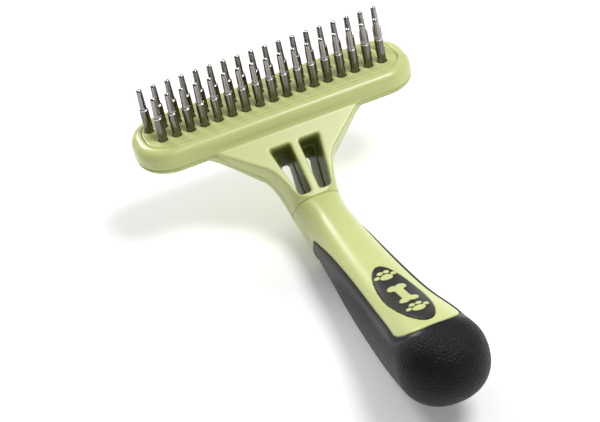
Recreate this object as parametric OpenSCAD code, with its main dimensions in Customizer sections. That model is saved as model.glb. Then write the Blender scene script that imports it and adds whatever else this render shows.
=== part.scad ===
// Double-row undercoat rake for dogs: stepped steel pins in a moulded head,
// a flared neck with two windows, and an ergonomic handle with a rubber grip.
// X runs along the head, +Y points from the handle to the head, +Z is up.
// The rake lies on the flat of its grip with the pins up; z = 0 is the resting surface.

/* [Head] */
// Length of the head along X
head_len = 109.6; // [105:0.1:125]
// Depth of the head along Y
head_depth = 30; // [28:0.5:34]
// Corner radius of the head outline
head_corner = 13; // [9:0.5:14]
// Height of the head top above the resting surface
head_top = 44.5; // [42:0.5:48]
// Thickness of the head from its top to its back
head_thick = 9.5; // [9:0.5:12]
// Thickness of the back cover that closes the head
cover_thick = 2.2; // [1.8:0.1:3]
// Distance from the head edge to the seam of the pin plate
seam_inset = 4.4; // [3.4:0.1:5]

/* [Pins] */
// Pins in the front row
front_count = 17; // [5:1:17]
// Distance between neighbouring pins of one row
pin_pitch = 5.5; // [5:0.1:5.6]
// Distance between the two rows
row_gap = 8.6; // [8:0.1:10]
// Diameter of the lower stage of a pin
pin_base_d = 3.4; // [3.1:0.1:3.6]
// Height of the lower stage above the plate
pin_base_h = 10.1; // [6:0.1:14]
// Diameter of the upper stage of a pin at its round tip
pin_tip_d = 2.2; // [1.6:0.1:2.4]
// Height of the upper stage with its round tip
pin_tip_h = 8.3; // [5:0.1:12]

/* [Neck] */
// Slope of the neck below the plane of the head, in degrees
neck_slope = 33.5; // [25:0.5:38]
// Step of the window walls where they pass into the lower shell
window_lip = 0.2; // [0.1:0.1:0.6]

/* [Handle] */
// Thickness of the rubber on the grip
rubber_thick = 2.2; // [1.5:0.1:3]
// Half width of the green field on top of the handle
field_half_w = 9.6; // [9:0.1:10.5]
// Half length of the oval badge
badge_half_l = 23.8; // [15:0.1:24]
// Half width of the oval badge
badge_half_w = 6.2; // [4:0.1:7]

/* [Hidden] */
$fn = 48;
EPS = 0.01;

function two_digits(n) = n < 10 ? str("0", n) : str(n);
back_count = front_count + 1;
FRONT_PINS = [for (i = [1:front_count]) str("front_pin_", two_digits(i))];
BACK_PINS = [for (i = [1:back_count]) str("back_pin_", two_digits(i))];

green = [0.74, 0.77, 0.50];
green_dark = [0.62, 0.65, 0.42];
steel = [0.55, 0.54, 0.52];
black = [0.15, 0.15, 0.16];

// Head levels
half_total = 89.3;
head_y = half_total - head_depth / 2;
head_back = head_top - head_thick;
parting = head_back + cover_thick;
front_row_y = head_y - row_gap / 2;
back_row_y = head_y + row_gap / 2;
plate_thick = 4;
plate_low = head_top - plate_thick;
retainer_thick = 1.5;
retainer_low = plate_low - retainer_thick;
ledge = 1.6;
flange_d = 4.2;
flange_h = 1;
pin_bevel = 0.25;
pin_taper = 0.15;
screw_d = 2.2;
screw_head_d = 4;
screw_head_h = 1.3;
screw_bite = 2.6;
cross_slot = [2.2, 0.6, 0.8];
// Cover screws sit at these multiples of the pin pitch on each side of the middle
screw_steps = [3.25, 8.25];
rib_thick = 1.6;
edge_inset = seam_inset - 0.5;

// Neck: the flat top face starts low on the head's front and falls to the collar seam
neck_len = 29.3;
face_y = head_y - head_depth / 2;
face_z = head_top - 6.2;
seam_y = face_y - neck_len * cos(neck_slope);
seam_z = face_z - neck_len * sin(neck_slope);
// Neck sections: distance up the slope from the seam, half width, half thickness, squareness
NECK = [[0, 9.3, 11.9, 2.6],
        [7.4, 10.2, 11.0, 3.0],
        [12.2, 11.7, 9.6, 3.2],
        [15.8, 13.8, 8.4, 3.4],
        [18.7, 17.2, 7.4, 3.6],
        [23.3, 22.6, 6.0, 3.8],
        [27.7, 28.0, 4.8, 3.8],
        [29.8, 31.0, 4.3, 3.8],
        [35.2, 36.5, 3.0, 3.8]];
collar_r = NECK[0][2];
// Corners of a window: distance from the middle, distance up the slope, height over the face
WINDOW_TOP = [[1.5, 2.2, 0.5], [6.2, 2.2, 0.5], [1.7, 23.4, 0.5], [10.4, 23.4, 0.5]];
WINDOW_LOW = [[2.5, 3.4, -24], [5.0, 3.4, -24], [2.5, 19.8, -16.5], [5.2, 19.8, -16.5]];
window_round = 1.2;
tang_r = 5.5;
tang_len = 11;
// The round socket is turned so that no edge of its wall meets an edge of the collar
socket_turn = 40;

// Handle sections: place along Y, height, half width, half thickness, lean, squareness
HANDLE = [[seam_y + collar_r * sin(neck_slope), seam_z - collar_r * cos(neck_slope),
           9.3, 11.9, neck_slope, 2.6],
          [34.5, 11.2, 9.1, 11.6, 15, 2.3],
          [26.1, 10.9, 9.1, 11.6, 3, 2.2],
          [9.0, 10.9, 10.0, 12.0, -2, 2.2],
          [-16.6, 12.5, 11.9, 13.4, -5, 2.2],
          [-41.9, 16.3, 13.6, 14.0, -11, 2.2],
          [-62.0, 21.6, 15.0, 14.6, -15, 2.2],
          [-73.5, 24.9, 15.5, 14.4, -17, 2.2]];
cap_len = 15.95;
ring_points = 36;
spline_steps = 2;
rubber_start = 23;
field_low = 11;
field_end = -72.5;
field_corner = 10;
badge_y = -45.3;
badge_depth = 1.2;
badge_proud = 0.3;
motif_proud = 0.6;
motif_scale = 1.2;

// A smooth curve through four neighbouring sections, at the part u of the middle span
function blend(a, b, c, d, u) =
    0.5 * (2 * b + (c - a) * u + (2 * a - 5 * b + 4 * c - d) * u * u
           + (3 * b - 3 * c + d - a) * u * u * u);

function clamp_index(i, n) = max(0, min(n - 1, i));

function smooth_list(p, steps) = let (n = len(p)) concat(
    [for (k = [0:n - 2], j = [0:steps - 1])
        blend(p[clamp_index(k - 1, n)], p[k], p[k + 1], p[clamp_index(k + 2, n)], j / steps)],
    [p[n - 1]]);

// Sections with their half width and half thickness grown by a margin
function grown(sections, margin) =
    [for (s = sections) [s[0], s[1], s[2] + margin, s[3] + margin, s[4], s[5]]];

// The round end of the handle, as shrinking sections past the last one
function end_cap(last, length) = [for (a = [18, 36, 52, 66, 78, 86])
    [last[0] - length * sin(a) * cos(last[4]), last[1] - length * sin(a) * sin(last[4]),
     last[2] * cos(a), last[3] * cos(a), last[4], last[5]]];

// A section as a closed ring of points; the section leans about the X axis
function ring(s) = [for (i = [0:ring_points - 1])
    let (a = 360 * i / ring_points,
         u = sign(cos(a)) * pow(abs(cos(a)), 2 / s[5]) * s[2],
         v = sign(sin(a)) * pow(abs(sin(a)), 2 / s[5]) * s[3])
    [u, s[0] - v * sin(s[4]), s[1] + v * cos(s[4])]];

// A neck section in the same form as a handle section
function neck_section(n) = [seam_y + n[0] * cos(neck_slope) + n[2] * sin(neck_slope),
                            seam_z + n[0] * sin(neck_slope) - n[2] * cos(neck_slope),
                            n[1], n[2], neck_slope, n[3]];

// The neck's sections in the order of the handle's: towards -Y
neck_sections = let (s = [for (n = smooth_list(NECK, spline_steps)) neck_section(n)])
    [for (i = [len(s) - 1:-1:0]) s[i]];

// A solid skin over a row of sections that run towards -Y
module loft(sections) {
    n = ring_points;
    last = len(sections) - 1;
    points = [for (s = sections) each ring(s)];
    sides = [for (k = [0:last - 1], i = [0:n - 1])
        let (a = k * n + i, b = k * n + (i + 1) % n)
        each [[b, a, a + n], [b, a + n, b + n]]];
    polyhedron(points, concat([[for (i = [0:n - 1]) i]], sides,
                              [[for (i = [n - 1:-1:0]) last * n + i]]));
}

// Places things on the neck's top face: Y runs up the slope from the seam, Z out of the face
module on_neck_face() {
    translate([0, seam_y, seam_z]) rotate([neck_slope, 0, 0]) children();
}

// A flat bar with large round corners, its long sides along X
module bar(len_x, len_y, r, low, high) {
    translate([0, head_y, low]) {
        cube_x = len_x - 2 * r;
        cube_y = len_y - 2 * r;
        translate([-cube_x / 2, -len_y / 2, 0]) cube([cube_x, len_y, high - low]);
        translate([-len_x / 2, -cube_y / 2, 0]) cube([len_x, cube_y, high - low]);
        for (x = [-1, 1], y = [-1, 1])
            translate([x * cube_x / 2, y * cube_y / 2, 0]) cylinder(r = r, h = high - low);
    }
}

// The head's outer body between two heights, with elliptical rounding at its top and bottom edge
module head_body(low, high, round_low, round_high, inward) {
    profile = concat([[0, low]],
        [for (a = [-90:18:0]) [head_corner - inward + inward * cos(a),
                               low + round_low + round_low * sin(a)]],
        [for (a = round_high > 0 ? [0:15:90] : [0])
            [head_corner - edge_inset * (1 - cos(a)), high - round_high * (1 - sin(a))]],
        [[0, high]]);
    hull()
        for (x = [-1, 1], y = [-1, 1])
            translate([x * (head_len / 2 - head_corner), head_y + y * (head_depth / 2 - head_corner), 0])
                rotate_extrude($fn = 40) polygon(profile);
}

// One window through the neck; its walls lean in, so it is much narrower underneath
module window(side, inset) {
    shift = window_round + inset;
    hull() on_neck_face()
        for (corners = [WINDOW_TOP, WINDOW_LOW], i = [0:3])
            translate([side * (corners[i][0] + (i % 2 == 0 ? shift : -shift)),
                       corners[i][1] + (i < 2 ? shift : -shift), corners[i][2]])
                cylinder(r = window_round, h = 0.5, $fn = 20);
}

// Everything below the parting line of the two shells
module below_parting() {
    far = 100;
    above_middle = 0.6;
    points = concat([[far, -far], [far, parting], [face_y - 0.3, parting]],
                    [for (i = [len(NECK) - 1:-1:0])
                        let (s = neck_section(NECK[i]))
                        if (s[0] < face_y - 1) [s[0], s[1] + above_middle]],
                    [[seam_y, seam_z - collar_r], [seam_y, -far]]);
    rotate([90, 0, 90]) linear_extrude(height = 2 * far, center = true) polygon(points);
}

module neck_body() {
    loft(neck_sections);
}

module upper_shell() {
    color(green) difference() {
        union() {
            head_body(parting, head_top, 0.3, 4.2, 0.3);
            difference() {
                neck_body();
                below_parting();
            }
        }
        bar(head_len - 2 * seam_inset, head_depth - 2 * seam_inset, head_corner - seam_inset,
            plate_low, head_top + 1);
        bar(head_len - 2 * (seam_inset + ledge), head_depth - 2 * (seam_inset + ledge),
            head_corner - seam_inset - ledge, parting - 1, plate_low + 1);
        for (side = [-1, 1]) window(side, 0);
    }
}

module lower_shell() {
    color(green_dark) difference() {
        union() {
            head_body(head_back, parting, 1.4, 0, 2.4);
            intersection() {
                neck_body();
                below_parting();
            }
            for (y = [front_row_y, back_row_y])
                translate([-screw_steps[1] * pin_pitch, y - rib_thick / 2, parting - 0.5])
                    cube([2 * screw_steps[1] * pin_pitch, rib_thick, retainer_low - parting + 0.5]);
            on_neck_face() translate([0, EPS, -collar_r]) rotate([90, 0, 0])
                cylinder(r = tang_r, h = tang_len);
        }
        for (side = [-1, 1]) window(side, window_lip);
        screw_holes(head_back - 1, plate_low);
        screw_places(head_back - EPS) cylinder(d = screw_head_d, h = screw_head_h + EPS);
    }
}

// Puts a thing at each cover screw, at a given height
module screw_places(z) {
    for (side = [-1, 1], k = screw_steps)
        translate([side * k * pin_pitch, head_y, z]) children();
}

module screw_holes(low, high) {
    screw_places(low) cylinder(d = screw_d, h = high - low);
}

module pin_places() {
    for (i = [1:front_count]) translate([front_x(i), front_row_y, 0]) children();
    for (i = [1:back_count]) translate([back_x(i), back_row_y, 0]) children();
}

function front_x(i) = (i - (front_count + 1) / 2) * pin_pitch;
function back_x(i) = (i - (back_count + 1) / 2) * pin_pitch;

module pin_plate() {
    color(green) difference() {
        bar(head_len - 2 * seam_inset, head_depth - 2 * seam_inset, head_corner - seam_inset,
            plate_low, head_top);
        pin_places() {
            translate([0, 0, plate_low - 1]) cylinder(d = pin_base_d, h = plate_thick + 2);
            translate([0, 0, plate_low - 1]) cylinder(d = flange_d, h = flange_h + 1);
        }
        screw_holes(plate_low - 1, plate_low + screw_bite);
    }
}

module pin_retainer() {
    fit = 0.2;
    inset = seam_inset + ledge + fit;
    color(green_dark) difference() {
        bar(head_len - 2 * inset, head_depth - 2 * inset, head_corner - inset, retainer_low, plate_low);
        screw_holes(retainer_low - 1, plate_low + 1);
    }
}

// Pan-head self-tapping screws, heads sunk in the back cover
module cover_screws() {
    color(steel) screw_places(head_back) difference() {
        union() {
            cylinder(d = screw_head_d, h = screw_head_h);
            cylinder(d = screw_d, h = plate_low + screw_bite - head_back);
        }
        translate([0, 0, -EPS]) for (a = [0, 90]) rotate(a)
            translate([-cross_slot[0] / 2, -cross_slot[1] / 2, 0]) cube(cross_slot);
    }
}

// A stepped pin: flange, lower stage, bevelled step, slightly tapered upper stage with a round tip
module pin() {
    tip_r = pin_tip_d / 2;
    base_r = pin_base_d / 2;
    step_z = head_top + pin_base_h;
    top = step_z + pin_tip_h;
    color(steel) rotate_extrude() polygon(concat(
        [[0, plate_low], [flange_d / 2, plate_low], [flange_d / 2, plate_low + flange_h],
         [base_r, plate_low + flange_h], [base_r, step_z - pin_bevel],
         [base_r - pin_bevel, step_z], [tip_r + pin_taper, step_z]],
        [for (a = [0:15:90]) [tip_r * cos(a), top - tip_r + tip_r * sin(a)]]));
}

module front_pin(i) {
    translate([front_x(i), front_row_y, 0]) pin();
}

module back_pin(i) {
    translate([back_x(i), back_row_y, 0]) pin();
}

// The handle's outer skin grown by a margin, with the flat that it rests on
module handle_skin(margin) {
    body = grown(smooth_list(HANDLE, spline_steps), margin);
    intersection() {
        loft(concat(body, end_cap(body[len(body) - 1], cap_len + margin)));
        translate([-50, -100, max(0, -margin)]) cube([100, 200, 100]);
    }
}

function field_half(y) = field_half_w - 1.1 + 0.0008 * pow(y + 5, 2);

// Outline of the green field that the rubber leaves free on top of the handle
module field_outline() {
    low = field_end + field_corner;
    side = [for (y = [rubber_start + 30:-6:low + 2]) [field_half(min(y, rubber_start)), y]];
    reach = field_half(low) - field_corner;
    round_end = [for (a = [0:15:90]) [reach + field_corner * cos(a), low - field_corner * sin(a)]];
    right = concat(side, round_end);
    polygon(concat(right, [for (i = [len(right) - 1:-1:0]) [-right[i][0], right[i][1]]]));
}

// The space that only rubber may fill
module rubber_zone() {
    difference() {
        translate([-50, -100, -50]) cube([100, 100 + rubber_start, 150]);
        translate([0, 0, field_low]) linear_extrude(height = 100) field_outline();
    }
}

module badge_prism(grow) {
    translate([0, badge_y, field_low]) linear_extrude(height = 60)
        scale([badge_half_w + grow, badge_half_l + grow]) circle(r = 1, $fn = 48);
}

module handle_core() {
    color(green) difference() {
        handle_skin(0);
        difference() {
            rubber_zone();
            handle_skin(-rubber_thick);
        }
        difference() {
            badge_prism(0);
            handle_skin(-badge_depth);
        }
        on_neck_face() translate([0, 1, -collar_r]) rotate([90, 0, 0]) rotate([0, 0, socket_turn])
            cylinder(r = tang_r, h = tang_len + 1);
    }
}

module grip() {
    color(black) difference() {
        intersection() {
            handle_skin(0);
            rubber_zone();
        }
        handle_skin(-rubber_thick);
    }
}

module badge() {
    color(black) difference() {
        intersection() {
            badge_prism(0);
            handle_skin(badge_proud);
        }
        handle_skin(-badge_depth);
    }
}

// Flat outline of a bone between two paw prints
module motif_outline() {
    $fn = 16;
    for (x = [-1, 1], y = [-1, 1]) translate([x * 1.2, y * 4.6]) circle(r = 1.5);
    square([2.4, 9.6], center = true);
    for (side = [-1, 1]) translate([0, side * 12.2]) {
        scale([1, 0.85]) circle(r = 1.8);
        for (t = [-1, 1]) {
            translate([t * 2.5, 1.2]) circle(r = 0.8);
            translate([t * 0.95, 2.9]) circle(r = 0.85);
        }
    }
}

module badge_motif() {
    color(green) difference() {
        intersection() {
            translate([0, badge_y, field_low]) linear_extrude(height = 60)
                scale(motif_scale) motif_outline();
            handle_skin(motif_proud);
        }
        handle_skin(badge_proud);
    }
}

upper_shell();
lower_shell();
pin_plate();
pin_retainer();
cover_screws();
handle_core();
grip();
badge();
badge_motif();
for (i = [1:front_count])
    front_pin(i);
for (i = [1:back_count])
    back_pin(i);
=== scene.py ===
"""Looks of an undercoat rake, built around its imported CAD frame.

The plastic, rubber and badge pieces are distance fields: a formula gives each point's distance to
the surface, so edges are rounded, seams are grooved and the neck flows into the head. surface_net
turns a field into a closed mesh. Lengths in the shape formulas are millimetres, in the CAD frame:
X along the head, +Y from the handle to the head, +Z up, z = 0 the table.
"""

import math

import bpy
import numpy as np
from mathutils import Matrix, Vector


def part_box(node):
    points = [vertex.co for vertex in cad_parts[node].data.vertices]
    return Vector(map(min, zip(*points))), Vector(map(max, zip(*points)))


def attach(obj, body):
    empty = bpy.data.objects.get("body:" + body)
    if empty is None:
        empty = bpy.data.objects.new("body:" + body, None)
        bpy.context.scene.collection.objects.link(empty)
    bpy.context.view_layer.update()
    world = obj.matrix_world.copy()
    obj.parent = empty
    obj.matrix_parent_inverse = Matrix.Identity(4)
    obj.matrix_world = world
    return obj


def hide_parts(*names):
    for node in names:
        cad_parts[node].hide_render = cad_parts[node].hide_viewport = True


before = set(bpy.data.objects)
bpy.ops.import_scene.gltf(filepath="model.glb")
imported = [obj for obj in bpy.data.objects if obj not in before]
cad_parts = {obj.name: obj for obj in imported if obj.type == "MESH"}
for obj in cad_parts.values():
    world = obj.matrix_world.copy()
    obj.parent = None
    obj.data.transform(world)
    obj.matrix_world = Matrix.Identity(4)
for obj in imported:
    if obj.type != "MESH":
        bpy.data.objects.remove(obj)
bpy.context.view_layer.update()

MM = 0.001
# Cell sizes of the surface nets, in millimetres
FINE = 0.45
PLATE_CELL = FINE * 0.8
BADGE_CELL = FINE * 0.7
MOTIF_CELL = 0.2
DRAFT_FACTOR = 1


# ---------------------------------------------------------------- sizes from the frame

def box_mm(node):
    low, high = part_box(node)
    return np.array(low) / MM, np.array(high) / MM


UPPER_LOW, UPPER_HIGH = box_mm("upper_shell")
LOWER_LOW, LOWER_HIGH = box_mm("lower_shell")
PLATE_LOW, PLATE_HIGH = box_mm("pin_plate")
GRIP_LOW, GRIP_HIGH = box_mm("grip")
BADGE_LOW, BADGE_HIGH = box_mm("badge")
CORE_LOW, CORE_HIGH = box_mm("handle_core")

HEAD_HALF = UPPER_HIGH[0]
HEAD_DEPTH = 30.0
HEAD_Y = UPPER_HIGH[1] - HEAD_DEPTH / 2
HEAD_TOP = UPPER_HIGH[2]
HEAD_BACK = 35.0
HEAD_CORNER = 13.0
PARTING = 37.2
SEAM_INSET = HEAD_HALF - PLATE_HIGH[0]
LEDGE = 1.6
TOP_ROUND = 4.0
BACK_ROUND = 1.9
FACE_DROP = 6.2

NECK_SLOPE = math.radians(33.5)
NECK_LEN = 29.3
SEAM_Y = HEAD_Y - HEAD_DEPTH / 2 - NECK_LEN * math.cos(NECK_SLOPE)
SEAM_Z = HEAD_TOP - FACE_DROP - NECK_LEN * math.sin(NECK_SLOPE)
# Seams are shown by rounding the edges that meet there
PARTING_ROUND = 0.22
COLLAR_ROUND = 0.25
# The parting line lies this far above the undersides of the neck's sections
PARTING_RAISE = 0.6
PARTING_REACH = 24

# Windows: place up the slope, and distances from the middle at the top face and at the underside
WINDOW_LIP = 0.2
WINDOW_START = 2.2
WINDOW_LEN = 21.2
WINDOW_OUTER = (6.2, 10.4)
WINDOW_OUTER_LOW = 5.1
WINDOW_INNER = 1.5
WINDOW_INNER_LEAN = 1.0
WINDOW_LEAN = (1.2, 3.6)
# Painted shade in the windows: it starts this far below the neck's top face and reaches full strength
# over the next stretch
PAINTED_SHADE_START = 0.4
PAINTED_SHADE_FADE = 2.5
WINDOW_ROUND = 1.2

# Distance up the slope, half width, half thickness, squareness
NECK = [[0, 9.3, 11.9, 2.6], [7.4, 10.2, 11.0, 3.0], [12.2, 11.7, 9.6, 3.2],
        [15.8, 13.8, 8.4, 3.4], [18.7, 17.2, 7.4, 3.6], [23.3, 22.6, 6.0, 3.8],
        [27.7, 28.0, 4.8, 3.8], [29.8, 31.0, 4.3, 3.8], [35.2, 36.5, 3.0, 3.8]]
NECK_END = NECK[-1][0]
COLLAR = NECK[0][2]
TANG_RADIUS = 5.5
TANG_LEN = 11.0

# Place along Y, height, half width, half thickness, lean in degrees, squareness
HANDLE = [[SEAM_Y + COLLAR * math.sin(NECK_SLOPE), SEAM_Z - COLLAR * math.cos(NECK_SLOPE),
           9.3, 11.9, 33.5, 2.6],
          [34.5, 11.2, 9.1, 11.6, 15, 2.3], [26.1, 10.9, 9.1, 11.6, 3, 2.2],
          [9.0, 10.9, 10.0, 12.0, -2, 2.2], [-16.6, 12.5, 11.9, 13.4, -5, 2.2],
          [-41.9, 16.3, 13.6, 14.0, -11, 2.2], [-62.0, 21.6, 15.0, 14.6, -15, 2.2],
          [-73.5, 24.9, 15.5, 14.4, -17, 2.2]]
CAP_LEN = 15.95
RUBBER_THICK = 2.2
RUBBER_START = GRIP_HIGH[1]
FIELD_HALF = 9.6
FIELD_LOW = 11.0
FIELD_END = -72.5
FIELD_CORNER = 10.0
# The field is narrowest at its waist, and widens away from it with the square of the distance
FIELD_WAIST = FIELD_HALF - 1.1
FIELD_WAIST_Y = -5
FIELD_SPREAD = 0.0008
RUBBER_CORNER = 3.0
# The bead along the field, which fades out over a stretch before the rear end
RIM_WIDTH = 1.9
RIM_RISE = 0.3
RIM_EDGE = 0.9
RIM_FADE_START = 3
RIM_FADE = 9
STIPPLE_FADE = 0.8

BADGE_Y = (BADGE_LOW[1] + BADGE_HIGH[1]) / 2
BADGE_HALF_W = BADGE_HIGH[0]
BADGE_HALF_L = (BADGE_HIGH[1] - BADGE_LOW[1]) / 2
BADGE_DEPTH = 1.2
BADGE_PROUD = 0.3
MOTIF_PROUD = 0.6
MOTIF_SCALE = 1.2

PIN_PITCH = 5.5
PIN_BASE_R = 1.7
PIN_UPPER_R = 1.25
PIN_TIP_R = 1.1
PIN_LOWER_STAGE = 10.1
PIN_FLANGE_R = 2.1
PIN_SIDES = 32
FRONT_ROW = box_mm("front_pin_01")[0][1] + PIN_FLANGE_R
BACK_ROW = box_mm("back_pin_01")[0][1] + PIN_FLANGE_R
FRONT_COUNT = sum(node.startswith("front_pin_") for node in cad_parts)
BACK_COUNT = sum(node.startswith("back_pin_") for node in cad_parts)
PIN_STEP = HEAD_TOP + PIN_LOWER_STAGE
PIN_TOP = box_mm("front_pin_01")[1][2]
SCREW_STEPS = (3.25, 8.25)
SCREW_HEAD_R = 2.0


# ---------------------------------------------------------------- distance field helpers

def cut_round(a, b, radius):
    """The space inside both fields, with the edge between them rounded."""
    corner = np.hypot(np.maximum(radius + a, 0), np.maximum(radius + b, 0))
    return np.minimum(-radius, np.maximum(a, b)) + corner


def join_round(a, b, radius):
    """The space inside either field, with a fillet where they meet."""
    corner = np.hypot(np.maximum(radius - a, 0), np.maximum(radius - b, 0))
    return np.maximum(radius, np.minimum(a, b)) - corner


def rounded_pair(a, b, radius):
    """Distance inside two crossing bands, with round corners, as for a rounded rectangle."""
    qa, qb = a + radius, b + radius
    outside = np.hypot(np.maximum(qa, 0), np.maximum(qb, 0))
    return outside + np.minimum(np.maximum(qa, qb), 0) - radius


def section_field(u, v, half_u, half_v, squareness):
    """Distance to a superellipse, first order, negative inside."""
    pu, pv = np.abs(u) / half_u, np.abs(v) / half_v
    size = np.maximum((pu ** squareness + pv ** squareness) ** (1 / squareness), 0.05)
    slope = np.hypot((pu / size) ** (squareness - 1) / half_u, (pv / size) ** (squareness - 1) / half_v)
    return size, (size - 1) / np.maximum(slope, 1e-3)


def smooth_rows(rows, steps):
    """Catmull-Rom curve through the rows of a table, as in the CAD model."""
    p = np.array(rows, float)
    out = []
    for k in range(len(p) - 1):
        a, b, c, d = p[max(k - 1, 0)], p[k], p[k + 1], p[min(k + 2, len(p) - 1)]
        for j in range(steps):
            u = j / steps
            out.append(0.5 * (2 * b + (c - a) * u + (2 * a - 5 * b + 4 * c - d) * u * u
                              + (3 * b - 3 * c + d - a) * u ** 3))
    return np.array(out + [p[-1]])


CORNERS = [(i, j, k) for i in (0, 1) for j in (0, 1) for k in (0, 1)]
EDGES = [(a, b) for a in CORNERS for b in CORNERS if sum(b) - sum(a) == 1
         and sum(abs(q - p) for p, q in zip(a, b)) == 1]


def surface_net(field, low, high, cell):
    """Points and quads of the closed surface where field is zero."""
    axes = [low[k] + cell * np.arange(int((high[k] - low[k]) / cell) + 2) for k in range(3)]
    d = field(*np.meshgrid(*axes, indexing="ij", sparse=True))
    inside = d < 0
    size = d.shape
    count = np.zeros([m - 1 for m in size], np.int8)
    for i, j, k in CORNERS:
        count += inside[i:size[0] - 1 + i, j:size[1] - 1 + j, k:size[2] - 1 + k]
    cells = np.argwhere((count > 0) & (count < 8))
    values = {c: d[tuple((cells + c).T)] for c in CORNERS}
    total = np.zeros((len(cells), 3))
    hits = np.zeros(len(cells))
    for a, b in EDGES:
        crossed = (values[a] < 0) != (values[b] < 0)
        share = np.where(crossed, values[a] / np.where(crossed, values[a] - values[b], 1), 0)
        total += crossed[:, None] * (np.array(a) + share[:, None] * (np.array(b) - np.array(a)))
        hits += crossed
    start = np.array([axis[0] for axis in axes])
    points = start + cell * (cells + total / hits[:, None])
    index = np.full([m - 1 for m in size], -1)
    index[tuple(cells.T)] = np.arange(len(cells))
    quads = []
    for axis in range(3):
        side, up = (axis + 1) % 3, (axis + 2) % 3
        first = [slice(1, m - 1) for m in size]
        first[axis] = slice(0, size[axis] - 1)
        second = list(first)
        second[axis] = slice(1, size[axis])
        offset = np.array([0 if k == axis else 1 for k in range(3)])
        at = np.argwhere(inside[tuple(first)] != inside[tuple(second)]) + offset
        step_side, step_up = np.eye(3, dtype=int)[side], np.eye(3, dtype=int)[up]
        around = [at - step_side - step_up, at - step_up, at, at - step_side]
        quad = np.stack([index[tuple(c.T)] for c in around], 1)
        leaving = inside[tuple(at.T)]
        quads.append(np.where(leaving[:, None], quad, quad[:, ::-1]))
    return settle(points, np.concatenate(quads), field, cell)


def settle(points, quads, field, cell):
    """Evens out the net and puts each point on the surface itself."""
    probe = 0.03
    here = np.repeat(quads[:, :, None], 2, 2).reshape(-1)
    there = np.stack([np.roll(quads, 1, 1), np.roll(quads, -1, 1)], 2).reshape(-1)
    degree = np.bincount(here, minlength=len(points))
    for turn in range(4):
        if turn:
            mean = np.stack([np.bincount(here, points[there, k], len(points)) for k in range(3)], 1)
            points = points + 0.5 * (mean / degree[:, None] - points)
        for _ in range(2):
            here_value = field(*points.T)
            grad = np.stack([field(*(points + probe * axis).T) - here_value
                             for axis in np.eye(3)], 1) / probe
            move = here_value[:, None] * grad / np.maximum((grad ** 2).sum(1), 0.05)[:, None]
            length = np.linalg.norm(move, axis=1, keepdims=True)
            points = points - move * np.minimum(1, 0.5 * cell / np.maximum(length, 1e-9))
    return points, quads


def make_piece(name, points, faces, material, replaced):
    """A smooth mesh piece on the root body, in place of CAD nodes. Points are in millimetres."""
    mesh = bpy.data.meshes.new(name)
    mesh.from_pydata((np.asarray(points) * MM).tolist(), [], faces)
    mesh.polygons.foreach_set("use_smooth", [True] * len(mesh.polygons))
    mesh.materials.append(material)
    mesh.update()
    piece = bpy.data.objects.new(name, mesh)
    bpy.context.scene.collection.objects.link(piece)
    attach(piece, "root")
    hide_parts(*replaced)
    return piece


def field_piece(name, field, low, high, cell, material, replaced):
    margin = 2 * cell
    points, quads = surface_net(field, np.array(low) - margin, np.array(high) + margin,
                                cell * DRAFT_FACTOR)
    return make_piece(name, points, quads.tolist(), material, replaced)


def points_mm(piece):
    """The piece's points as three rows of millimetres."""
    values = np.empty(len(piece.data.vertices) * 3)
    piece.data.vertices.foreach_get("co", values)
    return values.reshape(-1, 3).T / MM


def mark_points(piece, name, values):
    """A number per point that a material can read."""
    attribute = piece.data.attributes.new(name, "FLOAT", "POINT")
    attribute.data.foreach_set("value", np.asarray(values, np.float32))


# ---------------------------------------------------------------- head and neck fields

NECK_ROWS = smooth_rows(NECK, 12)
# How far the neck's sections would rise past its flat top face: none at the round collar
FACE_RISE = [[0, 0.0], [2, 1.4], [5, 3.6], [10, 5.2], [18, 4.6], [28, 3.2], [35.2, 2.5]]


def neck_frame(y, z):
    """Distance up the slope from the seam, and height above the neck's top face."""
    cos, sin = math.cos(NECK_SLOPE), math.sin(NECK_SLOPE)
    return (y - SEAM_Y) * cos + (z - SEAM_Z) * sin, (z - SEAM_Z) * cos - (y - SEAM_Y) * sin


def neck_value(s, column):
    return np.interp(s, NECK_ROWS[:, 0], NECK_ROWS[:, column])


def neck_field(x, y, z):
    s, h = neck_frame(y, z)
    half_w, half_t, squareness = neck_value(s, 1), neck_value(s, 2), neck_value(s, 3)
    rise = np.interp(s, *np.array(FACE_RISE).T)
    v = h + half_t
    upper = np.where(v > 0, half_t + rise, half_t)
    _, loft = section_field(x, v, half_w, upper, squareness)
    return cut_round(loft, h, 0.45)


def head_outline(x, y, inset):
    across = np.abs(x) - (HEAD_HALF - inset)
    along = np.abs(y - HEAD_Y) - (HEAD_DEPTH / 2 - inset)
    return rounded_pair(across, along, HEAD_CORNER - inset)


def head_field(x, y, z):
    rim = cut_round(head_outline(x, y, 0), z - HEAD_TOP, TOP_ROUND)
    return cut_round(rim, HEAD_BACK - z, BACK_ROUND)


def window_field(x, y, z, inset):
    """Both windows; the walls lean in, so each is much narrower at the underside."""
    s, h = neck_frame(y, z)
    depth = np.clip((0.5 - h) / (26 - 0.46 * s), 0, 1)
    low = WINDOW_START + WINDOW_LEAN[0] * depth + inset
    high = WINDOW_START + WINDOW_LEN - WINDOW_LEAN[1] * depth - inset
    along = np.maximum(low - s, s - high)
    widening = WINDOW_OUTER[1] - WINDOW_OUTER[0]
    top_outer = WINDOW_OUTER[0] + widening * (s - WINDOW_START) / WINDOW_LEN
    outer = top_outer + (WINDOW_OUTER_LOW - top_outer) * depth - inset
    inner = WINDOW_INNER + WINDOW_INNER_LEAN * depth + inset
    across = np.maximum(np.abs(x) - outer, inner - np.abs(x))
    return rounded_pair(across, along, WINDOW_ROUND)


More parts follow.
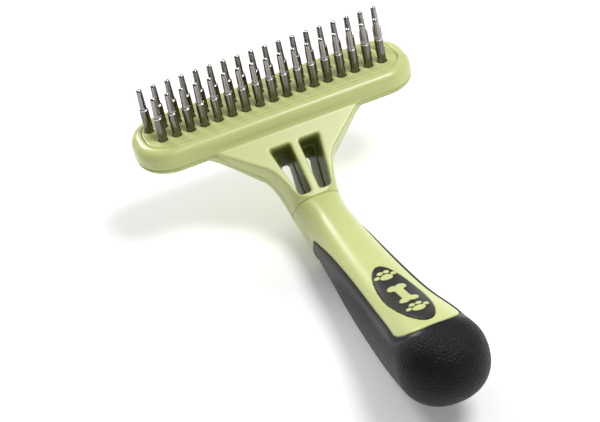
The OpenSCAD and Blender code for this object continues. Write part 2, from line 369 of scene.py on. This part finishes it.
def above_parting(y, z):
    """Height above the joint between the two shells."""
    cos, sin = math.cos(NECK_SLOPE), math.sin(NECK_SLOPE)
    rows = [r for r in NECK if r[0] < PARTING_REACH]
    line_y = [SEAM_Y + r[0] * cos + r[2] * sin for r in rows]
    line_z = [SEAM_Z + r[0] * sin - r[2] * cos + PARTING_RAISE for r in rows]
    face_y = HEAD_Y - HEAD_DEPTH / 2
    line_y, line_z = line_y + [face_y - 0.3], line_z + [PARTING]
    return z - np.interp(y, line_y, line_z)


def pin_row(x, y, row_y, count):
    nearest = np.clip(np.round(x / PIN_PITCH - (count - 1) / 2 % 1), -(count // 2), count // 2)
    return np.hypot(x - (nearest + (count - 1) / 2 % 1) * PIN_PITCH, y - row_y)


def upper_shell_field(x, y, z):
    s, _ = neck_frame(y, z)
    body = join_round(head_field(x, y, z), np.maximum(neck_field(x, y, z), s - NECK_END), 0.9)
    body = cut_round(body, -above_parting(y, z), PARTING_ROUND)
    body = cut_round(body, -s, COLLAR_ROUND)
    pocket = np.maximum(head_outline(x, y, SEAM_INSET), PLATE_LOW[2] - z)
    hollow = np.maximum(head_outline(x, y, SEAM_INSET + LEDGE), PARTING - 1 - z)
    body = cut_round(body, -pocket, 0.4)
    body = np.maximum(body, -hollow)
    return cut_round(body, -window_field(x, y, z, 0), 0.5)


def screw_field(x, y, radius):
    nearest = min_distance([(side * k * PIN_PITCH, HEAD_Y) for side in (-1, 1) for k in SCREW_STEPS],
                           x, y)
    return nearest - radius


def min_distance(places, x, y):
    best = np.hypot(x - places[0][0], y - places[0][1])
    for px, py in places[1:]:
        best = np.minimum(best, np.hypot(x - px, y - py))
    return best


def lower_shell_field(x, y, z):
    s, h = neck_frame(y, z)
    head = np.maximum(head_field(x, y, z), z - PARTING)
    neck = np.maximum(neck_field(x, y, z), s - NECK_END)
    body = join_round(head, neck, 1.2)
    body = cut_round(body, above_parting(y, z), PARTING_ROUND)
    body = cut_round(body, -s, COLLAR_ROUND)
    tang = np.maximum(np.hypot(x, h + COLLAR) - TANG_RADIUS, np.maximum(-TANG_LEN - s, s - 1))
    body = np.minimum(body, cut_round(tang, -TANG_LEN - s, 0.5))
    body = cut_round(body, -window_field(x, y, z, WINDOW_LIP), 0.4)
    sink = np.maximum(screw_field(x, y, SCREW_HEAD_R + 0.15), z - HEAD_BACK - 1.3)
    return cut_round(body, -sink, 0.2)


def pin_plate_field(x, y, z):
    plate = cut_round(head_outline(x, y, SEAM_INSET + 0.12), z - HEAD_TOP, 0.45)
    plate = np.maximum(plate, PLATE_LOW[2] - z)
    to_pin = np.minimum(pin_row(x, y, FRONT_ROW, FRONT_COUNT), pin_row(x, y, BACK_ROW, BACK_COUNT))
    holes = to_pin - PIN_BASE_R - 0.1
    return cut_round(plate, -holes, 0.3)


# ---------------------------------------------------------------- handle fields

SPINE = smooth_rows(HANDLE, 40)
SPINE[:, 4] = np.radians(SPINE[:, 4])
SPINE_STEP = np.hypot(*np.diff(SPINE[:, :2], axis=0).T)
SPINE_AT = np.concatenate([[0], np.cumsum(SPINE_STEP)])


def spine_value(t, column):
    return np.interp(t, SPINE_AT, SPINE[:, column])


def skin_field(x, y, z):
    """The whole handle's outer skin."""
    t = np.interp(-y, -SPINE[:, 0], SPINE_AT)
    for _ in range(8):
        lean = spine_value(t, 4)
        off = (y - spine_value(t, 0)) * np.cos(lean) + (z - spine_value(t, 1)) * np.sin(lean)
        t = np.clip(t - off, 0, SPINE_AT[-1])
    lean = spine_value(t, 4)
    dy, dz = y - spine_value(t, 0), z - spine_value(t, 1)
    v = dz * np.cos(lean) - dy * np.sin(lean)
    at_end = t >= SPINE_AT[-1] - 1e-6
    past = np.maximum(-(dy * np.cos(lean) + dz * np.sin(lean)), 0) / CAP_LEN * at_end
    half_w, half_t = spine_value(t, 2), spine_value(t, 3)
    size, body = section_field(x, v, half_w, half_t, spine_value(t, 5))
    whole = np.hypot(size, past)
    growth = (size - 1) / np.where(np.abs(size - 1) < 1e-6, 1e-6, body + 1e-12)
    slope = np.sqrt((growth * size / whole) ** 2 + (past / whole / CAP_LEN) ** 2)
    skin = (whole - 1) / np.maximum(slope, 0.03)
    return cut_round(skin, -z, 0.6)


def green_zone(x, y, z):
    """Negative over the green field that the rubber leaves free."""
    half = FIELD_WAIST + FIELD_SPREAD * (np.minimum(y, RUBBER_START) - FIELD_WAIST_Y) ** 2
    top = rounded_pair(np.abs(x) - half, FIELD_END - y, FIELD_CORNER)
    return np.maximum(top, FIELD_LOW - z)


def rubber_zone(x, y, z):
    """Negative where only rubber may be."""
    return cut_round(y - RUBBER_START, -green_zone(x, y, z), RUBBER_CORNER)


def badge_zone(x, y):
    px, py = x / BADGE_HALF_W, (y - BADGE_Y) / BADGE_HALF_L
    size = np.maximum(np.hypot(px, py), 0.02)
    return (size - 1) * size / np.maximum(np.hypot(px / BADGE_HALF_W, py / BADGE_HALF_L), 1e-4)


def core_field(x, y, z):
    skin = skin_field(x, y, z)
    s, h = neck_frame(y, z)
    outer = cut_round(skin, -rubber_zone(x, y, z), 0.3)
    body = np.minimum(outer, skin + RUBBER_THICK)
    body = cut_round(body, s, COLLAR_ROUND)
    pocket = np.maximum(badge_zone(x, y), -(skin + BADGE_DEPTH))
    body = cut_round(body, -np.maximum(pocket, FIELD_LOW - z), 0.2)
    socket = np.maximum(np.hypot(x, h + COLLAR) - TANG_RADIUS, -TANG_LEN - 1 - s)
    return np.maximum(body, -socket)


def grip_field(x, y, z):
    """Rubber with a raised bead along the green field, which dies out at the rear end."""
    zone = rubber_zone(x, y, z)
    across = np.clip((RIM_WIDTH + zone) / RIM_EDGE, 0, 1)
    along = np.clip((y - FIELD_END - RIM_FADE_START) / RIM_FADE, 0, 1)
    rim = RIM_RISE * across * across * (3 - 2 * across) * along
    skin = skin_field(x, y, z)
    return np.maximum(cut_round(skin - rim * (z > 1), zone, 0.5), -(skin + RUBBER_THICK))


def badge_field(x, y, z):
    skin = skin_field(x, y, z)
    top = cut_round(skin - BADGE_PROUD, badge_zone(x, y) + 0.05, 0.3)
    return np.maximum(np.maximum(top, -(skin + BADGE_DEPTH)), FIELD_LOW - z)


def motif_outline(x, y):
    """A bone between two paw prints, both with their toes towards the head."""
    x, y = x / MOTIF_SCALE, y / MOTIF_SCALE
    bone = np.maximum(np.abs(x) - 1.25, np.abs(y) - 4.6)
    knobs = np.hypot(np.abs(x) - 1.25, np.abs(y) - 4.7) - 1.55
    best = join_round(bone, knobs, 0.5)
    for middle in (-12.2, 12.2):
        up = y - middle
        pad = np.hypot(x, up / 0.85) - 1.85
        toes = np.minimum(np.hypot(np.abs(x) - 2.5, up - 1.2) - 0.85,
                          np.hypot(np.abs(x) - 0.95, up - 2.9) - 0.9)
        best = np.minimum(best, np.minimum(pad, toes))
    return best * MOTIF_SCALE


def motif_field(x, y, z):
    skin = skin_field(x, y, z)
    shape = motif_outline(x, y - BADGE_Y)
    return np.maximum(cut_round(skin - MOTIF_PROUD, shape, 0.15), -(skin - BADGE_PROUD + 0.15))


# ---------------------------------------------------------------- materials

def new_material(name):
    material = bpy.data.materials.new(name)
    material.use_nodes = True
    return material, material.node_tree, material.node_tree.nodes["Principled BSDF"]


def add(tree, kind, **values):
    node = tree.nodes.new(kind)
    for key, value in values.items():
        if key in node.inputs:
            node.inputs[key].default_value = value
        else:
            setattr(node, key, value)
    return node


def noise(tree, scale, detail=4.0, stretch=(1, 1, 1)):
    """Noise in the object's own space; scale is in features per metre."""
    where = add(tree, "ShaderNodeTexCoord")
    mapping = add(tree, "ShaderNodeMapping")
    mapping.inputs["Scale"].default_value = stretch
    texture = add(tree, "ShaderNodeTexNoise", Scale=scale, Detail=detail)
    tree.links.new(where.outputs["Object"], mapping.inputs["Vector"])
    tree.links.new(mapping.outputs["Vector"], texture.inputs["Vector"])
    return texture


def spread(tree, source, low, high):
    """Maps a 0.3 to 0.7 noise value to a range."""
    node = add(tree, "ShaderNodeMapRange")
    for socket, value in (("From Min", 0.3), ("From Max", 0.7), ("To Min", low), ("To Max", high)):
        node.inputs[socket].default_value = value
    tree.links.new(source, node.inputs["Value"])
    return node.outputs["Result"]


def mix_colour(tree, factor, first, second):
    node = add(tree, "ShaderNodeMix", data_type="RGBA")
    node.inputs["A"].default_value = (*first, 1)
    node.inputs["B"].default_value = (*second, 1)
    tree.links.new(factor, node.inputs["Factor"])
    return node.outputs["Result"]


def bump(tree, shader, height, distance, strength):
    node = add(tree, "ShaderNodeBump", Distance=distance, Strength=strength)
    tree.links.new(height, node.inputs["Height"])
    tree.links.new(node.outputs["Normal"], shader.inputs["Normal"])


# Base colour deep in the windows: darker than the plastic itself, it stands in for deep shade
PAINTED_SHADE_GREEN = (0.17, 0.19, 0.045)


def green_plastic(name, light, dark, rough):
    """Satin moulded plastic: slight colour drift, fine spark texture, and painted shade deep in the
    windows.
    """
    material, tree, shader = new_material(name)
    drift = noise(tree, 35, 3)
    # Painted shade: a mark per point darkens the base colour deep in the windows
    painted_shade = add(tree, "ShaderNodeAttribute", attribute_name="painted_shade")
    tone = add(tree, "ShaderNodeMix", data_type="RGBA")
    tone.inputs["B"].default_value = (*PAINTED_SHADE_GREEN, 1)
    tree.links.new(painted_shade.outputs["Fac"], tone.inputs["Factor"])
    tree.links.new(mix_colour(tree, spread(tree, drift.outputs["Fac"], 0, 1), light, dark),
                   tone.inputs["A"])
    tree.links.new(tone.outputs["Result"], shader.inputs["Base Color"])
    gloss = noise(tree, 240, 5)
    tree.links.new(spread(tree, gloss.outputs["Fac"], rough - 0.02, rough + 0.03),
                   shader.inputs["Roughness"])
    grain = noise(tree, 2600, 3)
    bump(tree, shader, grain.outputs["Fac"], 0.00001, 0.2)
    shader.inputs["Specular IOR Level"].default_value = 0.5
    shader.inputs["Subsurface Weight"].default_value = 0.06
    shader.inputs["Subsurface Radius"].default_value = (1.0, 0.9, 0.4)
    shader.inputs["Subsurface Scale"].default_value = 0.002
    return material


def grip_rubber():
    """Black moulded rubber: fine stipple away from the smooth, glossier rim, and a dusty drift in
    colour.
    """
    material, tree, shader = new_material("grip_rubber")
    drift = noise(tree, 60, 4)
    tree.links.new(mix_colour(tree, spread(tree, drift.outputs["Fac"], 0, 1),
                              (0.0050, 0.0050, 0.0062),
                              (0.0085, 0.0085, 0.0100)), shader.inputs["Base Color"])
    stipple = add(tree, "ShaderNodeTexVoronoi", Scale=1500)
    where = add(tree, "ShaderNodeTexCoord")
    tree.links.new(where.outputs["Object"], stipple.inputs["Vector"])
    mask = add(tree, "ShaderNodeAttribute", attribute_name="stipple")
    height = add(tree, "ShaderNodeMath", operation="MULTIPLY")
    tree.links.new(stipple.outputs["Distance"], height.inputs[0])
    tree.links.new(mask.outputs["Fac"], height.inputs[1])
    bump(tree, shader, height.outputs["Value"], 0.0003, 0.8)
    rough = add(tree, "ShaderNodeMapRange")
    rough.inputs["To Min"].default_value = 0.36
    rough.inputs["To Max"].default_value = 0.48
    tree.links.new(mask.outputs["Fac"], rough.inputs["Value"])
    tree.links.new(rough.outputs["Result"], shader.inputs["Roughness"])
    shader.inputs["Specular IOR Level"].default_value = 0.17
    return material


def badge_black():
    material, tree, shader = new_material("badge_black")
    drift = noise(tree, 90, 4)
    tree.links.new(mix_colour(tree, spread(tree, drift.outputs["Fac"], 0, 1),
                              (0.0060, 0.0060, 0.0065),
                              (0.0095, 0.0095, 0.0100)), shader.inputs["Base Color"])
    grain = noise(tree, 2200, 3)
    bump(tree, shader, grain.outputs["Fac"], 0.00003, 0.4)
    tree.links.new(spread(tree, grain.outputs["Fac"], 0.34, 0.42), shader.inputs["Roughness"])
    shader.inputs["Specular IOR Level"].default_value = 0.35
    return material


def turned_steel(name, dark, middle, bright, rough):
    """Turned steel: a mark per point picks the tone as painted light, with streaks along it and faint
    rings.
    """
    material, tree, shader = new_material(name)
    # Painted light: the mark lifts the tone from a painted dark reflection at 0 to a painted highlight
    # at 1
    mark = add(tree, "ShaderNodeAttribute", attribute_name="polish_and_painted_light")
    streak = noise(tree, 520, 3, (1, 1, 0.1))
    push = add(tree, "ShaderNodeMath", operation="MULTIPLY_ADD")
    push.inputs[1].default_value = 0.34
    tree.links.new(streak.outputs["Fac"], push.inputs[0])
    tree.links.new(mark.outputs["Fac"], push.inputs[2])
    tone = add(tree, "ShaderNodeValToRGB")
    ramp = tone.color_ramp.elements
    ramp[0].position, ramp[0].color = 0.1, (*dark, 1)
    ramp[1].position, ramp[1].color = 1.0, (*bright, 1)
    centre = ramp.new(0.6)
    centre.color = (*middle, 1)
    tree.links.new(push.outputs["Value"], tone.inputs["Fac"])
    tree.links.new(tone.outputs["Color"], shader.inputs["Base Color"])
    polish_and_painted_light = noise(tree, 300, 2, (1, 1, 0.3))
    tree.links.new(spread(tree, polish_and_painted_light.outputs["Fac"], rough - 0.03, rough + 0.05),
                   shader.inputs["Roughness"])
    rings = noise(tree, 900, 1, (0.1, 0.1, 1))
    bump(tree, shader, rings.outputs["Fac"], 0.00001, 0.2)
    shader.inputs["Metallic"].default_value = 1.0
    return material


GREEN = green_plastic("green_plastic", (0.57, 0.61, 0.245), (0.555, 0.595, 0.235), 0.29)
GREEN_COVER = green_plastic("green_cover", (0.51, 0.55, 0.215), (0.49, 0.53, 0.205), 0.33)
RUBBER = grip_rubber()
BADGE_BLACK = badge_black()
# Pin tones: the dark one is a painted dark reflection, the bright one a painted highlight, the middle
# one the steel
PIN_STEEL = turned_steel("pin_steel", (0.13, 0.11, 0.095), (0.40, 0.38, 0.37),
                         (0.95, 0.94, 0.92), 0.12)
SCREW_STEEL = turned_steel("screw_steel", (0.50, 0.50, 0.49), (0.58, 0.58, 0.57),
                           (0.7, 0.7, 0.7), 0.28)


# ---------------------------------------------------------------- plastic and rubber pieces

upper = field_piece("upper_shell_skin", upper_shell_field, UPPER_LOW, UPPER_HIGH, FINE,
                    GREEN, ["upper_shell"])
lower = field_piece("lower_shell_skin", lower_shell_field, LOWER_LOW, LOWER_HIGH, FINE,
                    GREEN_COVER, ["lower_shell"])
field_piece("pin_plate_skin", pin_plate_field, PLATE_LOW, PLATE_HIGH, PLATE_CELL,
            GREEN, ["pin_plate"])
field_piece("handle_core_skin", core_field, CORE_LOW, CORE_HIGH, FINE,
            GREEN, ["handle_core"])
grip = field_piece("grip_skin", grip_field, GRIP_LOW, GRIP_HIGH, FINE,
                   RUBBER, ["grip"])
field_piece("badge_skin", badge_field, BADGE_LOW, BADGE_HIGH, BADGE_CELL,
            BADGE_BLACK, ["badge"])
MOTIF_LOW, MOTIF_HIGH = box_mm("badge_motif")
field_piece("badge_motif_skin", motif_field, MOTIF_LOW, MOTIF_HIGH, MOTIF_CELL,
            GREEN, ["badge_motif"])

# Painted shade: mark the shells' points deep in the windows, from none just below the neck's top face
# to full
for shell in (upper, lower):
    place = points_mm(shell)
    _, height = neck_frame(place[1], place[2])
    near_window = np.clip(1.5 - window_field(*place, 0), 0, 1)
    mark_points(shell, "painted_shade", near_window * np.clip(-(height + PAINTED_SHADE_START) / PAINTED_SHADE_FADE, 0, 1))

rim_depth = -rubber_zone(*points_mm(grip))
mark_points(grip, "stipple", np.clip((rim_depth - RIM_WIDTH) / STIPPLE_FADE, 0, 1))


# ---------------------------------------------------------------- pins and screws


def pin_profile():
    """Radius, height and painted light from the hidden foot to the tip."""
    foot = PLATE_LOW[2] + 1
    tip = PIN_TOP - PIN_TIP_R
    # Painted light per row: dark reflection on the lower stage, highlight at the step's chamfer and
    # rising over the tip
    rows = [(0, foot, 0), (PIN_BASE_R, foot, 0), (PIN_BASE_R, PIN_STEP - 0.75, 0.04),
            (PIN_BASE_R, PIN_STEP - 0.45, 0.9), (PIN_UPPER_R + 0.03, PIN_STEP - 0.02, 1),
            (PIN_UPPER_R, PIN_STEP + 0.05, 0.3), (PIN_UPPER_R, PIN_STEP + 1.2, 0.2),
            (PIN_TIP_R, tip - 0.3, 0.3)]
    rows += [(PIN_TIP_R * math.cos(a), tip + PIN_TIP_R * math.sin(a), 0.3 + 0.3 * math.sin(a))
             for a in np.radians(np.arange(0, 90, 11.25))]
    return rows + [(0, PIN_TOP, 0.6)]


def lathe(profile, cx, cy, sides):
    """Points and faces of a turned solid about a vertical axis."""
    inner = profile[1:-1]
    points = [(cx, cy, profile[0][1])]
    for r, z, _ in inner:
        points += [(cx + r * math.cos(a), cy + r * math.sin(a), z)
                   for a in 2 * math.pi * np.arange(sides) / sides]
    points.append((cx, cy, profile[-1][1]))
    top = len(points) - 1
    faces = [(0, 1 + (i + 1) % sides, 1 + i) for i in range(sides)]
    for k in range(len(inner) - 1):
        a, b = 1 + k * sides, 1 + (k + 1) * sides
        faces += [(a + i, a + (i + 1) % sides, b + (i + 1) % sides, b + i) for i in range(sides)]
    last = 1 + (len(inner) - 1) * sides
    faces += [(last + i, last + (i + 1) % sides, top) for i in range(sides)]
    return points, faces


def make_pin(node):
    """A turned pin in the place of a CAD pin."""
    low, high = box_mm(node)
    profile = pin_profile()
    points, faces = lathe(profile, (low[0] + high[0]) / 2, (low[1] + high[1]) / 2, PIN_SIDES)
    piece = make_piece(node + "_turned", points, faces, PIN_STEEL, [node])
    piece.data.set_sharp_from_angle(angle=math.radians(35))
    # Painted light per point, from the profile rows
    polish_and_painted_light = [profile[0][2]] + [row[2] for row in profile[1:-1] for _ in range(PIN_SIDES)]
    mark_points(piece, "polish_and_painted_light", polish_and_painted_light + [profile[-1][2]])


for pin_node in sorted(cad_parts):
    if "_pin_" in pin_node:
        make_pin(pin_node)


def carry_over(node, material):
    """A CAD node whose shape is right gets a finished material."""
    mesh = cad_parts[node].data
    mesh.materials.clear()
    mesh.materials.append(material)


carry_over("pin_retainer", GREEN_COVER)
carry_over("cover_screws", SCREW_STEEL)


# ---------------------------------------------------------------- camera, floor and light

CAMERA_TARGET = Vector((-0.0054, 0.0456, 0.0101))
CAMERA_DISTANCE = 0.68581
CAMERA_AZIMUTH = math.radians(13.826)
CAMERA_ELEVATION = math.radians(36.0)
CAMERA_ROLL = math.radians(-12.307)
CAMERA_LENS = 111.0
CAMERA_SENSOR = 36
LIGHT_TARGET = Vector((0, 0, 0.02))
FLOOR_HALF = 3.0

scene = bpy.context.scene


def make_camera():
    a, e = CAMERA_AZIMUTH, CAMERA_ELEVATION
    forward = Vector((math.sin(a) * math.cos(e), math.cos(a) * math.cos(e), -math.sin(e)))
    right = Vector((math.cos(a), -math.sin(a), 0))
    up = right.cross(forward)
    cos, sin = math.cos(CAMERA_ROLL), math.sin(CAMERA_ROLL)
    right, up = right * cos + up * sin, up * cos - right * sin
    data = bpy.data.cameras.new("camera")
    data.lens = CAMERA_LENS
    data.sensor_width = CAMERA_SENSOR
    camera = bpy.data.objects.new("camera", data)
    pose = Matrix((right, up, -forward)).transposed().to_4x4()
    pose.translation = CAMERA_TARGET - forward * CAMERA_DISTANCE
    camera.matrix_world = pose
    scene.collection.objects.link(camera)
    scene.camera = camera


def make_floor():
    half = FLOOR_HALF
    mesh = bpy.data.meshes.new("floor")
    mesh.from_pydata([(-half, -half, 0), (half, -half, 0), (half, half, 0), (-half, half, 0)], [],
                     [(0, 1, 2, 3)])
    material, _, shader = new_material("floor_white")
    shader.inputs["Base Color"].default_value = (0.9, 0.9, 0.91, 1)
    shader.inputs["Roughness"].default_value = 0.8
    shader.inputs["Emission Color"].default_value = (1, 1, 1, 1)
    shader.inputs["Emission Strength"].default_value = 0.15
    mesh.materials.append(material)
    floor = bpy.data.objects.new("floor", mesh)
    scene.collection.objects.link(floor)


def make_light(name, place, size, power):
    data = bpy.data.lights.new(name, "AREA")
    data.shape = "DISK"
    data.size = size
    data.energy = power
    lamp = bpy.data.objects.new(name, data)
    lamp.location = place
    lamp.rotation_euler = (LIGHT_TARGET - Vector(place)).to_track_quat("-Z", "Y").to_euler()
    scene.collection.objects.link(lamp)


def make_world(towards, bright, dim):
    """A studio that is bright in one direction and dim behind the camera."""
    world = bpy.data.worlds.new("studio")
    world.use_nodes = True
    tree = world.node_tree
    back = tree.nodes["Background"]
    back.inputs["Color"].default_value = (1, 1, 1, 1)
    where = add(tree, "ShaderNodeTexCoord")
    facing = add(tree, "ShaderNodeVectorMath", operation="DOT_PRODUCT")
    facing.inputs[1].default_value = Vector(towards).normalized()
    tree.links.new(where.outputs["Generated"], facing.inputs[0])
    level = add(tree, "ShaderNodeMapRange", interpolation_type="SMOOTHSTEP")
    for socket, value in (("From Min", -0.3), ("From Max", 0.9), ("To Min", dim), ("To Max", bright)):
        level.inputs[socket].default_value = value
    tree.links.new(facing.outputs["Value"], level.inputs["Value"])
    tree.links.new(level.outputs["Result"], back.inputs["Strength"])
    scene.world = world


make_camera()
make_floor()
make_world((0.35, 0.5, 0.8), 0.6, 0.05)
make_light("main", (0.38, -0.30, 0.95), 0.42, 7.5)
make_light("back_softbox", (-0.26, 0.82, 0.62), 0.3, 4.6)
scene.view_settings.view_transform = "Standard"
